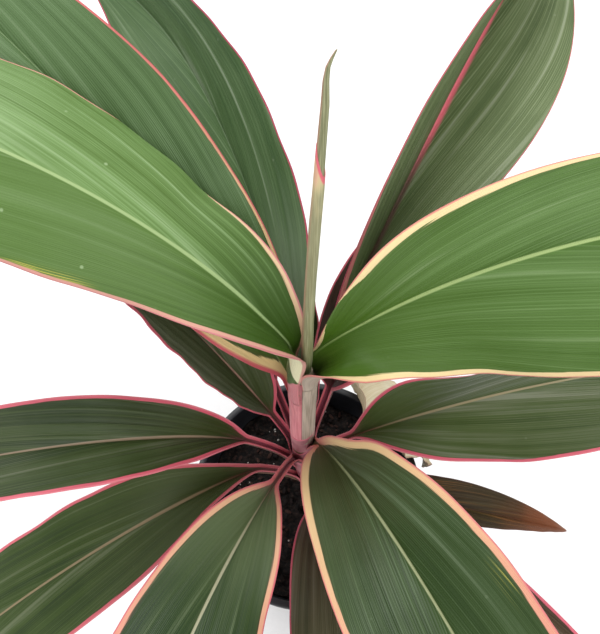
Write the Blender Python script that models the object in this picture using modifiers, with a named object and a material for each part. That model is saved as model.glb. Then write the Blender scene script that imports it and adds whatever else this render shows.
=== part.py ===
"""A young ti plant with its black nursery pot, soil, stem, leaves and rolled new leaf.

The pot's base centre is the origin, +Z is up and the plant is seen in the photo from -Y
and above. Lengths in the tables are millimetres and angles are degrees.
"""
import math
from collections import namedtuple

import bmesh
import bpy
import numpy as np
from mathutils import Vector

MM = 0.001
GAP = 0.3                    # clearance between neighbouring pieces

# Nursery pot
RIM_RADIUS = 76.0
POT_HEIGHT = 140.0
BASE_RADIUS = 55.0
WALL = 1.2
LIP_WIDTH = 4.6
SKIRT_DROP = 13.0
FLOOR = 1.8
EDGE = 1.5                   # bevel round the base
LIP_THICKNESS = 1.6
LIP_EDGE = 0.6
MID_HEIGHT = 70.0            # one more ring halfway up the wall
POT_STEPS = 40
DRAIN_HOLES = 6
DRAIN_RADIUS = 4.5
DRAIN_CIRCLE = 40.0

# Soil
SOIL_TOP = 120.0
SOIL_RIPPLE = 1.6
SOIL_DISH = 2.5              # how much lower it lies at the wall
SOIL_RINGS = 7

# Stem: it stands beside the pot's centre and leans back over it
STEM_RADIUS = 5.5
STEM_FOOT = 84.0
STEM_TOP = 333.0
STEM_BEND = [(84, 3.5), (122, 3.5), (170, 0.0), (205, -3.5), (270, -3.8), (333, -3.8)]

# Leaves
BLADE_THICKNESS = 0.9
BASE_CLIMB = 74.0            # slope at which every leaf leaves the stem
CLASP_LENGTH = 22.0          # the base changes from a wrap round the stem to a channel
CLASP_TURN = 50.0            # how far each half of the base wraps
CHANNEL_FOLD = 55.0          # the walls of a long petiole
LONG_PETIOLE = 20.0
PETIOLE_HALF = 3.4
CLASP_EXTRA = 0.8
TIP_HALF = 0.5
ONSET = 0.035                # share of the blade over which it opens from the stalk
UNFOLDED = 0.25              # share over which the channel opens into the blade
RIB_LOSS = 0.6               # how much of the stalk's width the blade takes over
TIP_FLATNESS = 20            # the larger, the shorter the flat tip
ROW_CROWDING = 1.25          # rows lie closer together at the base
ROWS = 15
HALF_COLUMNS = 3
ARC_STEPS = 12               # short arcs that each half's curl is summed over
RIB_STEPS = 240

# The shared outline: where the blade is widest, how bluntly it tapers, and how much wider
# its left half is, in shape and in size
OUTLINE = (0.80, 0.95, 0.0, 0.0)

Leaf = namedtuple("Leaf", "node toward sweep climb petiole blade half turn fold curl droop "
                          "colour outline", defaults=[OUTLINE])

GREEN = (0.09, 0.19, 0.05)
DARK_GREEN = (0.05, 0.10, 0.04)
MAROON_GREEN = (0.08, 0.07, 0.04)
BROWN = (0.13, 0.06, 0.03)
STRAW = (0.45, 0.40, 0.24)

# node: height of the leaf base. toward, sweep: compass direction and how it changes.
# climb: slope where the blade starts and at its tip. half: half of the greatest width.
# turn: twist about the rib at the base and at the tip. fold, curl: how steeply each half
# rises from the midrib, and how much more at its margin. droop: under 1 bends it early.
LEAVES = {
    "leaf_upper_left": Leaf(307, 157, 16, (104, -20), 32, 314, 36, (-4, -26), -12, -23,
                            0.40, GREEN, (0.92, 1.04, 0.03, -0.05)),
    "leaf_upper_right": Leaf(325, 12, -33, (57, 6), 14, 263, 38, (71, -6), 5, -16,
                             0.42, GREEN, (0.72, 0.84, -0.03, -0.28)),
    "leaf_upper_back_left": Leaf(300, 139, 1, (60, 1), 12, 257, 29, (-15, -10), 24, -3,
                                 0.90, DARK_GREEN),
    "leaf_upper_back": Leaf(295, 107, 30, (50, -14), 16, 258, 29, (-18, -49), 31, -1,
                            0.77, DARK_GREEN),
    "leaf_upper_back_right": Leaf(284, 59, 4, (41, -2), 27, 265, 38, (13, 73), 53, 3,
                                  1.20, DARK_GREEN, (1.04, 1.25, 0.05, -0.09)),
    "leaf_collared_front": Leaf(242, 298, -7, (64, -25), 20, 285, 33, (37, -6), 23, -4,
                                0.56, DARK_GREEN),
    "leaf_middle_right": Leaf(223, 51, -21, (73, -12), 56, 131, 23, (-13, 0), 31, -7,
                              0.88, MAROON_GREEN),
    "leaf_lower_front": Leaf(219, 245, 26, (41, -25), 50, 267, 27, (-8, -7), 9, -22,
                             0.85, DARK_GREEN),
    "leaf_middle_left": Leaf(214, 147, 4, (58, 18), 38, 194, 26, (-10, 12), 44, 3,
                             1.00, MAROON_GREEN),
    "leaf_lower_right": Leaf(206, 4, -6, (45, -3), 41, 275, 30, (-1, -37), -18, -28,
                             1.00, DARK_GREEN),
    "leaf_lower_left": Leaf(203, 193, -5, (59, -33), 61, 241, 20, (-4, -8), 17, -6,
                            0.68, DARK_GREEN),
    "leaf_middle_back_left": Leaf(181, 119, 17, (47, 2), 69, 160, 19, (4, 4), 34, -4,
                                  0.95, MAROON_GREEN),
    "leaf_middle_back": Leaf(174, 89, 59, (63, 4), 51, 158, 21, (-22, -7), 57, 10,
                             0.92, MAROON_GREEN),
    "leaf_lower_front_left": Leaf(170, 208, 6, (63, -51), 72, 343, 28, (1, -3), 6, -18,
                                  0.30, DARK_GREEN),
    "leaf_bottom_right": Leaf(169, 307, 20, (46, -26), 33, 256, 28, (-1, 3), 22, -5,
                              1.12, MAROON_GREEN),
    "leaf_bottom_front": Leaf(153, 282, -4, (47, -25), 29, 262, 31, (13, 3), 14, -13,
                              1.00, MAROON_GREEN),
    "leaf_withered_back": Leaf(152, 40, -140, (-18, -60), 57, 100, 36, (12, -75), -3, 8,
                               0.35, STRAW),
    "leaf_drying_right": Leaf(143, 345, 13, (29, -37), 22, 157, 15, (11, -17), 35, 0,
                              0.92, BROWN),
}

# Rolled new leaf: (height, sideways, radius)
SPEAR = [(333.5, -2.8, 2.5), (347, -1.9, 2.4), (390, -2.0, 1.9), (429, -2.2, 1.6),
         (447, -1.6, 1.45), (463, -1.0, 1.3), (474, -0.3, 1.15), (482, 0.1, 0.9),
         (487, 0.9, 0.6), (490.5, 2.2, 0.3)]


def clear_scene():
    for thing in list(bpy.data.objects):
        bpy.data.objects.remove(thing)


def collection(name):
    group = bpy.data.collections.new(name)
    bpy.context.scene.collection.children.link(group)
    return group


def material(name, colour, roughness, metallic=0.0):
    finish = bpy.data.materials.new(name)
    finish.use_nodes = True
    shader = finish.node_tree.nodes["Principled BSDF"]
    shader.inputs["Base Color"].default_value = (*colour, 1.0)
    shader.inputs["Roughness"].default_value = roughness
    shader.inputs["Metallic"].default_value = metallic
    return finish


def add_object(name, mesh, group, finish):
    thing = bpy.data.objects.new(name, mesh)
    group.objects.link(thing)
    thing.data.materials.append(finish)
    return thing


def turned(name, profile, group, finish, steps=POT_STEPS):
    """Turn a profile of (radius, height) pairs that runs from the axis round the outside."""
    points = [Vector((radius, 0.0, height)) * MM for radius, height in profile]
    edges = [(i, i + 1) for i in range(len(points) - 1)]
    mesh = bpy.data.meshes.new(name)
    mesh.from_pydata(points, edges, [])
    thing = add_object(name, mesh, group, finish)
    screw = thing.modifiers.new("turn", "SCREW")
    screw.steps = steps
    screw.render_steps = steps
    screw.use_merge_vertices = True
    screw.merge_threshold = 0.00005
    screw.use_smooth_shade = True
    return thing


def cutter(name, radius, low, high, centre, group, sides=24):
    bm = bmesh.new()
    bmesh.ops.create_cone(bm, cap_ends=True, segments=sides, radius1=radius * MM,
                          radius2=radius * MM, depth=(high - low) * MM)
    mesh = bpy.data.meshes.new(name)
    bm.to_mesh(mesh)
    bm.free()
    thing = bpy.data.objects.new(name, mesh)
    thing.location = Vector((centre[0], centre[1], (low + high) / 2)) * MM
    group.objects.link(thing)
    thing.hide_render = True
    thing.display_type = "WIRE"
    return thing


def cut(thing, tool):
    boolean = thing.modifiers.new("cut " + tool.name, "BOOLEAN")
    boolean.operation = "DIFFERENCE"
    boolean.solver = "EXACT"
    boolean.object = tool


def wall_radius(height):
    """Outer radius of the pot's wall, which tapers from the rim to the base."""
    top = RIM_RADIUS - LIP_WIDTH + WALL
    return BASE_RADIUS + (top - BASE_RADIUS) * height / POT_HEIGHT


def pot_profile():
    rim, top, skirt = RIM_RADIUS, POT_HEIGHT, POT_HEIGHT - SKIRT_DROP
    under = top - LIP_THICKNESS
    return [
        (0.0, 0.0),
        (BASE_RADIUS - EDGE, 0.0),
        (BASE_RADIUS, EDGE),
        (wall_radius(MID_HEIGHT), MID_HEIGHT),
        (wall_radius(under), under),
        (rim - WALL, under),
        (rim - WALL - LIP_EDGE, skirt),
        (rim - LIP_EDGE, skirt),
        (rim, top - LIP_EDGE),
        (rim - LIP_EDGE, top),
        (rim - LIP_WIDTH + LIP_EDGE, top),
        (rim - LIP_WIDTH, top - LIP_EDGE),
        (wall_radius(MID_HEIGHT) - WALL, MID_HEIGHT),
        (BASE_RADIUS - WALL, FLOOR + EDGE),
        (BASE_RADIUS - WALL - EDGE, FLOOR),
        (0.0, FLOOR),
    ]


def build_pot(group, cutters):
    finish = material("pot_plastic", (0.018, 0.019, 0.022), 0.42)
    pot = turned("nursery_pot", pot_profile(), group, finish)
    for i in range(DRAIN_HOLES):
        turn = 2 * math.pi * (i + 0.5) / DRAIN_HOLES
        place = (DRAIN_CIRCLE * math.cos(turn), DRAIN_CIRCLE * math.sin(turn))
        cut(pot, cutter(f"drain_{i}", DRAIN_RADIUS, -2.0, FLOOR + 2.0, place, cutters, 16))
    return pot


def soil_height(radius, turn):
    """A lightly mounded, lumpy surface."""
    lumps = math.sin(0.17 * radius * math.cos(turn) + 1.3) * math.cos(0.23 * radius * math.sin(turn))
    lumps += 0.6 * math.sin(0.41 * radius * math.sin(turn + 0.7) + 2.1)
    return SOIL_TOP + SOIL_RIPPLE * lumps - SOIL_DISH * (radius / RIM_RADIUS) ** 2


def build_soil(group, cutters):
    finish = material("potting_soil", (0.020, 0.014, 0.010), 0.95)
    bm = bmesh.new()
    low = FLOOR + GAP
    outlines = []
    for height, inset in ((low, EDGE), (MID_HEIGHT, 0.0)):
        radius = wall_radius(height) - WALL - GAP - inset
        outlines.append([(radius, height)] * POT_STEPS)
    top_radius = wall_radius(SOIL_TOP - SOIL_DISH) - WALL - GAP
    for ring in range(SOIL_RINGS):
        radius = top_radius * (1 - ring / SOIL_RINGS)
        turns = [2 * math.pi * i / POT_STEPS for i in range(POT_STEPS)]
        outlines.append([(radius, soil_height(radius, turn)) for turn in turns])
    rings = []
    for outline in outlines:
        ring = []
        for i, (radius, height) in enumerate(outline):
            turn = 2 * math.pi * i / POT_STEPS
            spot = Vector((radius * math.cos(turn), radius * math.sin(turn), height))
            ring.append(bm.verts.new(spot * MM))
        rings.append(ring)
    floor_centre = bm.verts.new(Vector((0, 0, low)) * MM)
    top_centre = bm.verts.new(Vector((0, 0, soil_height(0, 0))) * MM)
    for i in range(POT_STEPS):
        j = (i + 1) % POT_STEPS
        bm.faces.new((floor_centre, rings[0][j], rings[0][i]))
        bm.faces.new((top_centre, rings[-1][i], rings[-1][j]))
        for below, above in zip(rings, rings[1:]):
            bm.faces.new((below[i], below[j], above[j]))
            bm.faces.new((below[i], above[j], above[i]))
    mesh = bpy.data.meshes.new("potting_soil")
    bm.to_mesh(mesh)
    bm.free()
    soil = add_object("potting_soil", mesh, group, finish)
    hole = cutter("stem_hole", STEM_RADIUS + GAP, STEM_FOOT - GAP, SOIL_TOP + 20,
                  (STEM_BEND[0][1], 0.0), cutters, 16)
    cut(soil, hole)
    return soil


def stem_centre(height):
    heights = [z for z, x in STEM_BEND]
    sideways = [x for z, x in STEM_BEND]
    return Vector((float(np.interp(height, heights, sideways)), 0.0, height))


def tube(name, points, radii, group, finish, resolution=3):
    """A round, tapering rod along the points, given in mm."""
    curve = bpy.data.curves.new(name, "CURVE")
    curve.dimensions = "3D"
    curve.bevel_depth = MM
    curve.bevel_resolution = resolution
    curve.use_fill_caps = True
    spline = curve.splines.new("POLY")
    spline.points.add(len(points) - 1)
    for slot, point, radius in zip(spline.points, points, radii):
        slot.co = (*(Vector(point) * MM), 1.0)
        slot.radius = radius
    rod = add_object(name, curve, group, finish)
    return rod


def build_stem(group):
    finish = material("stem_sheaths", (0.42, 0.24, 0.22), 0.55)
    heights = [STEM_FOOT, 104, 122, 138, 154, 170, 188, 205, 226, 248, 270, 290, 310, STEM_TOP]
    radii = [STEM_RADIUS] * len(heights)
    radii[-1] = STEM_RADIUS - 1.5
    points = [stem_centre(height) for height in heights]
    return tube("stem", points, radii, group, finish)


def build_spear(group):
    finish = material("rolled_leaf", (0.17, 0.20, 0.08), 0.45)
    points = [(sideways, 0.0, height) for height, sideways, radius in SPEAR]
    radii = [radius for height, sideways, radius in SPEAR]
    return tube("new_leaf_spear", points, radii, group, finish, 2)


def smooth(t):
    t = np.clip(t, 0.0, 1.0)
    return t * t * (3 - 2 * t)


def blade_half(leaf, along, side):
    """Half width of the blade at a share of its length, on the left (1) or right (-1)."""
    widest, taper, shape_skew, width_skew = leaf.outline
    onset = 1 - np.exp(-along / ONSET)
    outline = np.sin(np.pi * along ** (widest + side * shape_skew)) ** taper
    return leaf.half * (1 + side * width_skew) * outline * onset


def leaf_rib(leaf, travel):
    """Centre line and its cross and upward directions at the given distances."""
    up = np.array([0.0, 0.0, 1.0])
    fine = np.linspace(0, leaf.petiole + leaf.blade, RIB_STEPS + 1)
    in_petiole = np.clip(fine / leaf.petiole, 0, 1)
    in_blade = np.clip((fine - leaf.petiole) / leaf.blade, 0, 1)
    start, tip = leaf.climb
    climb = BASE_CLIMB + (start - BASE_CLIMB) * smooth(in_petiole)
    climb += (tip - start) * in_blade ** leaf.droop
    turn = leaf.turn[0] + (leaf.turn[1] - leaf.turn[0]) * in_blade
    heading = np.radians(leaf.toward + leaf.sweep * in_blade ** 1.5)
    climb, turn = np.radians(climb), np.radians(turn)
    outward = np.stack([np.cos(heading), np.sin(heading), 0 * heading], 1)
    ahead = np.cos(climb)[:, None] * outward + np.sin(climb)[:, None] * up
    across = np.stack([-np.sin(heading), np.cos(heading), 0 * heading], 1)
    steps = (ahead[1:] + ahead[:-1]) / 2 * np.diff(fine)[:, None]
    centre = np.vstack([np.zeros(3), np.cumsum(steps, 0)])
    seat = STEM_RADIUS + GAP + BLADE_THICKNESS / 2
    face = math.radians(leaf.toward + leaf.turn[0])
    centre += np.array(stem_centre(leaf.node))
    centre += seat * np.array([math.cos(face), math.sin(face), 0.0])
    lift = np.cross(ahead, across)
    cross = np.cos(turn)[:, None] * across + np.sin(turn)[:, None] * lift
    rise = np.cross(ahead, cross)
    picked = []
    for track in (centre, cross, rise):
        picked.append(np.stack([np.interp(travel, fine, track[:, k]) for k in range(3)], 1))
    return picked


def leaf_surface(leaf, rows, half_columns):
    """Grid of points: rows from base to tip, columns from the right margin to the left."""
    length = leaf.petiole + leaf.blade
    travel = length * np.linspace(0, 1, rows + 1) ** ROW_CROWDING
    centre, cross, rise = leaf_rib(leaf, travel)
    along = np.clip((travel - leaf.petiole) / leaf.blade, 0, 1)
    freed = smooth(travel / CLASP_LENGTH)
    spread = smooth(along / UNFOLDED)
    flat = 1 - along ** TIP_FLATNESS
    gutter = CHANNEL_FOLD * min(1.0, leaf.petiole / LONG_PETIOLE)
    fold = np.radians(gutter * freed * (1 - spread) + leaf.fold * spread) * flat
    curl = np.radians(CLASP_TURN * (1 - freed) * (1 - spread) + leaf.curl * spread) * flat
    channel = (PETIOLE_HALF + CLASP_EXTRA * (1 - freed)) * (1 - along) ** 0.7
    channel *= 1 - RIB_LOSS * spread
    columns = []
    for column in range(-half_columns, half_columns + 1):
        side, share = np.sign(column), abs(column) / half_columns
        half = channel + blade_half(leaf, along, side) + TIP_HALF
        middles = (np.arange(ARC_STEPS) + 0.5) / ARC_STEPS * share
        bend = fold[:, None] + curl[:, None] * middles[None, :]
        out = np.cos(bend).mean(1) * share * half
        lifted = np.sin(bend).mean(1) * share * half
        columns.append(centre + side * out[:, None] * cross + lifted[:, None] * rise)
    return np.array(columns).transpose(1, 0, 2)


def build_leaf(name, leaf, group):
    grid = leaf_surface(leaf, ROWS, HALF_COLUMNS)
    rows, columns, _ = grid.shape
    points = [Vector(spot) * MM for row in grid for spot in row]
    faces = []
    for i in range(rows - 1):
        for j in range(columns - 1):
            a, b = i * columns + j, i * columns + j + 1
            c, d = b + columns, a + columns
            faces += [(a, b, c), (a, c, d)] if j < columns // 2 else [(a, b, d), (b, c, d)]
    mesh = bpy.data.meshes.new(name)
    mesh.from_pydata(points, [], faces)
    thing = add_object(name, mesh, group, material(name, leaf.colour, 0.4))
    shell = thing.modifiers.new("thickness", "SOLIDIFY")
    shell.thickness = BLADE_THICKNESS * MM
    shell.offset = 0.0
    return thing


def build():
    clear_scene()
    plant = collection("ti_plant")
    cutters = collection("cutters")
    build_pot(plant, cutters)
    build_soil(plant, cutters)
    build_stem(plant)
    build_spear(plant)
    for name, leaf in LEAVES.items():
        build_leaf(name, leaf, plant)


build()
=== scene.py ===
"""The looks of the potted ti plant: veined leaves, wrapped stem, rolled new leaf, soil and pot."""

import math
from collections import namedtuple

import bpy
import numpy as np
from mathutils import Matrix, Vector


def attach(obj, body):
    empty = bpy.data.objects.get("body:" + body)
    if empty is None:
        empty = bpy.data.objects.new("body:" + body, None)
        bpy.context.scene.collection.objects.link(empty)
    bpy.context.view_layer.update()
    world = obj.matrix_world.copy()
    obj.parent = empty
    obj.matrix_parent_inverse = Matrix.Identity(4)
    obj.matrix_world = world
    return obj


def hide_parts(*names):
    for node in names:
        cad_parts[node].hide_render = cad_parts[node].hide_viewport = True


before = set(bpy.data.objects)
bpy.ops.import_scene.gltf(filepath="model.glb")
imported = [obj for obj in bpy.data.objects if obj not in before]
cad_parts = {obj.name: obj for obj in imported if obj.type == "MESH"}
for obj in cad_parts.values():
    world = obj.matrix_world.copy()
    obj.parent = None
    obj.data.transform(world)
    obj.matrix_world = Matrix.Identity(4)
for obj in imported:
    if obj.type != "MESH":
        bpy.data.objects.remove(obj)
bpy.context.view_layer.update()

MM = 0.001
FULL_TURN = 2 * np.pi
rng = np.random.default_rng(20)

# Colours and materials

LEAF_DEPTH = 0.88  # a leaf's own colour, as a share of the colour that is seen,
GLOSS_VEIL = 0.014  # and what the light on its gloss adds to it
DARKEST = 0.004


def rgb(red, green, blue):
    """A colour given as 0 to 255 on screen, in linear values."""
    values = np.array([red, green, blue]) / 255
    linear = np.where(values <= 0.04045, values / 12.92, ((values + 0.055) / 1.055) ** 2.4)
    return tuple(float(value) for value in linear)


def seen(red, green, blue):
    """The colour of a leaf that looks like this in the studio light, gloss and all."""
    return tuple(max(DARKEST, LEAF_DEPTH * value - GLOSS_VEIL) for value in rgb(red, green, blue))


class Shader:
    """Adds nodes to a new material, with sockets, numbers or colours as their inputs."""

    def __init__(self, name, specular=0.5):
        self.finish = bpy.data.materials.new(name)
        self.finish.use_nodes = True
        self.tree = self.finish.node_tree
        self.surface = self.tree.nodes["Principled BSDF"].inputs
        self.surface["Specular IOR Level"].default_value = specular

    def feed(self, socket, value):
        if isinstance(value, bpy.types.NodeSocket):
            self.tree.links.new(value, socket)
        elif isinstance(value, tuple) and socket.type == "RGBA":
            socket.default_value = (*value, 1.0)
        else:
            socket.default_value = value

    def node(self, kind, inputs, out=0, **settings):
        """The inputs are a list in the node's order, or a dictionary by name or number."""
        node = self.tree.nodes.new("ShaderNode" + kind)
        for key, value in settings.items():
            setattr(node, key, value)
        named = inputs if isinstance(inputs, dict) else dict(enumerate(inputs))
        for key, value in named.items():
            self.feed(node.inputs[key], value)
        return node.outputs[out]

    def math(self, operation, a, b=0.0):
        return self.node("Math", [a, b], operation=operation)

    def times(self, a, b):
        return self.math("MULTIPLY", a, b)

    def plus(self, a, b):
        return self.math("ADD", a, b)

    def ranged(self, value, low, width):
        """A value from 0 to 1, taken to the range that starts at low."""
        return self.plus(self.times(value, width), low)

    def sway(self, noise, width):
        """A noise as a number that goes either way from zero, over the width in all."""
        return self.times(self.plus(noise, -0.5), width)

    def step(self, value, start, end):
        """Goes smoothly from 0 to 1 while the value goes from start to end."""
        limits = [start, end, 0.0, 1.0] if start <= end else [end, start, 1.0, 0.0]
        return self.node("MapRange", [value, *limits], interpolation_type="SMOOTHSTEP")

    def mix(self, share, a, b):
        return self.node("Mix", {0: share, 6: a, 7: b}, 2, data_type="RGBA")

    def fade(self, colour, other, value, start, end, share=None):
        """The colour, which turns into the other while the value goes from start to end."""
        reached = self.step(value, start, end)
        return self.mix(reached if share is None else self.times(reached, share), colour, other)

    def noise(self, vector, scale=1.0, detail=2.0):
        return self.node("TexNoise", {"Vector": vector, "Scale": scale, "Detail": detail})

    def value(self, name):
        """A number that is stored on the mesh."""
        return self.node("Attribute", [], "Fac", attribute_name=name)

    def place(self):
        return self.node("TexCoord", [], "Object")

    def stretched(self, *scale):
        """Places at which a noise grows longer along the axes with a small number."""
        return self.node("Mapping", {"Vector": self.place(), "Scale": scale})

    def bump(self, height, distance, strength):
        inputs = {"Height": height, "Distance": distance, "Strength": strength}
        self.feed(self.surface["Normal"], self.node("Bump", inputs))

    def done(self, colour, roughness):
        self.feed(self.surface["Base Color"], colour)
        self.feed(self.surface["Roughness"], roughness)
        return self.finish


# Mesh helpers

def make_piece(name, points, faces, finish, values=None, node=None):
    """A smooth mesh in millimetres that rides on the plant, with numbers stored per point."""
    mesh = bpy.data.meshes.new(name)
    mesh.from_pydata([tuple(point) for point in np.asarray(points) * MM], [], faces)
    mesh.validate()
    mesh.shade_smooth()
    for key, numbers in (values or {}).items():
        layer = mesh.attributes.new(key, "FLOAT", "POINT")
        layer.data.foreach_set("value", np.asarray(numbers, dtype=np.float32).ravel())
    piece = bpy.data.objects.new(name, mesh)
    bpy.context.scene.collection.objects.link(piece)
    mesh.materials.append(finish)
    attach(piece, "root")
    if node:
        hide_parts(node)
    return piece


def smooth(t):
    t = np.clip(t, 0.0, 1.0)
    return t * t * (3 - 2 * t)


def all_round(steps):
    """Even turns round an axis, in radians."""
    return np.linspace(0, FULL_TURN, steps, endpoint=False)


def sheet_faces(rows, columns, offset, flip=False, closed=False):
    """Quads of a grid of points. A closed grid joins its last column to its first."""
    faces = []
    for i in range(rows - 1):
        for j in range(columns if closed else columns - 1):
            k = (j + 1) % columns
            a, b = offset + i * columns + j, offset + i * columns + k
            face = (a, a + columns, b + columns, b)
            faces.append(face[::-1] if flip else face)
    return faces


def tube_faces(rings, steps):
    """Faces of a tube of rings, closed at both ends."""
    last = (rings - 1) * steps
    return (sheet_faces(rings, steps, 0, flip=True, closed=True)
            + [tuple(range(steps))[::-1], tuple(range(last, last + steps))])


def ring(radius, turn, height, middle=(0.0, 0.0, 0.0)):
    """Points round the middle, at one or many radii and heights."""
    return np.stack([middle[0] + radius * np.cos(turn), middle[1] + radius * np.sin(turn),
                     np.broadcast_to(height, turn.shape)], 1)


# Leaves: shape. Lengths are in millimetres and angles in degrees.

GAP = 0.3  # between the stem and a leaf's foot
STEM_RADIUS = 5.5
STEM_BEND = [(84, 3.5), (122, 3.5), (170, 0.0), (205, -3.5), (270, -3.8), (333, -3.8)]
CAD_THICKNESS = 0.9  # of the solids, whose middle surface the leaves follow
BASE_CLIMB = 74.0  # of a leaf where it leaves the stem
CLASP_LENGTH = 22.0
CLASP_TURN = 50.0
CLASP_EXTRA = 0.8
CHANNEL_FOLD = 55.0
CHANNEL_TAPER = 0.7
LONG_PETIOLE = 20.0
PETIOLE_HALF = 3.4
TIP_HALF = 0.5
ONSET = 0.035  # shares of the blade by which its margins set out,
UNFOLDED = 0.25  # and by which it has unfolded
RIB_LOSS = 0.6
TIP_FLATNESS = 20
SWEEP_POWER = 1.5
RIB_STEPS = 240
TUCK, TUCK_LENGTH = 0.35, 12.0  # the foot of a leaf lies closer to the stem
ARC_STEPS = 14

ROWS = 104
ROW_CROWDING = 1.15
# Columns of each half, from the midrib to the margin: close together at both
SHARES = np.concatenate([[0, 0.012, 0.026, 0.045, 0.07], np.linspace(0.105, 0.94, 23),
                         [0.968, 0.988, 1.0]])

# node: height on the stem. toward: direction at the foot. sweep: how far the blade turns aside.
# climb: above level, where the blade starts and at its tip. petiole, blade: lengths. half: half
# width. turn: twist at the blade's start and its tip. fold: of each half at the midrib. curl:
# bend of each half from there out. droop: how late the blade bends down. outline: where it is
# widest and how pointed it is, and how far the left side differs from the right in both.
OUTLINE = (0.8, 0.95, 0.0, 0.0)
Leaf = namedtuple("Leaf", "node toward sweep climb petiole blade half turn fold curl droop "
                          "outline", defaults=[OUTLINE])
LEAVES = {
    "upper_left": Leaf(307, 157, 16, (104, -20), 32, 314, 36, (-4, -26), -12, -23,
                       0.4, (0.92, 1.04, 0.03, -0.05)),
    "upper_right": Leaf(325, 12, -33, (57, 6), 14, 263, 38, (71, -6), 5, -16,
                        0.42, (0.72, 0.84, -0.03, -0.28)),
    "upper_back_left": Leaf(300, 139, 1, (60, 1), 12, 257, 29, (-15, -10), 24, -3, 0.9),
    "upper_back": Leaf(295, 107, 30, (50, -14), 16, 258, 29, (-18, -49), 31, -1, 0.77),
    "upper_back_right": Leaf(284, 59, 4, (41, -2), 27, 265, 38, (13, 73), 53, 3,
                             1.2, (1.04, 1.25, 0.05, -0.09)),
    "collared_front": Leaf(242, 298, -7, (64, -25), 20, 285, 33, (37, -6), 23, -4, 0.56),
    "middle_right": Leaf(223, 51, -21, (73, -12), 56, 131, 23, (-13, 0), 31, -7, 0.88),
    "lower_front": Leaf(219, 245, 26, (41, -25), 50, 267, 27, (-8, -7), 9, -22, 0.85),
    "middle_left": Leaf(214, 147, 4, (58, 18), 38, 194, 26, (-10, 12), 44, 3, 1.0),
    "lower_right": Leaf(206, 4, -6, (45, -3), 41, 275, 30, (-1, -37), -18, -28, 1.0),
    "lower_left": Leaf(203, 193, -5, (59, -33), 61, 241, 20, (-4, -8), 17, -6, 0.68),
    "middle_back_left": Leaf(181, 119, 17, (47, 2), 69, 160, 19, (4, 4), 34, -4, 0.95),
    "middle_back": Leaf(174, 89, 59, (63, 4), 51, 158, 21, (-22, -7), 57, 10, 0.92),
    "lower_front_left": Leaf(170, 208, 6, (63, -51), 72, 343, 28, (1, -3), 6, -18, 0.3),
    "bottom_right": Leaf(169, 307, 20, (46, -26), 33, 256, 28, (-1, 3), 22, -5, 1.12),
    "bottom_front": Leaf(153, 282, -4, (47, -25), 29, 262, 31, (13, 3), 14, -13, 1.0),
    "withered_back": Leaf(152, 40, -140, (-18, -60), 57, 100, 36, (12, -75), -3, 8, 0.35),
    "drying_right": Leaf(143, 345, 13, (29, -37), 22, 157, 15, (11, -17), 35, 0, 0.92),
}

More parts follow.
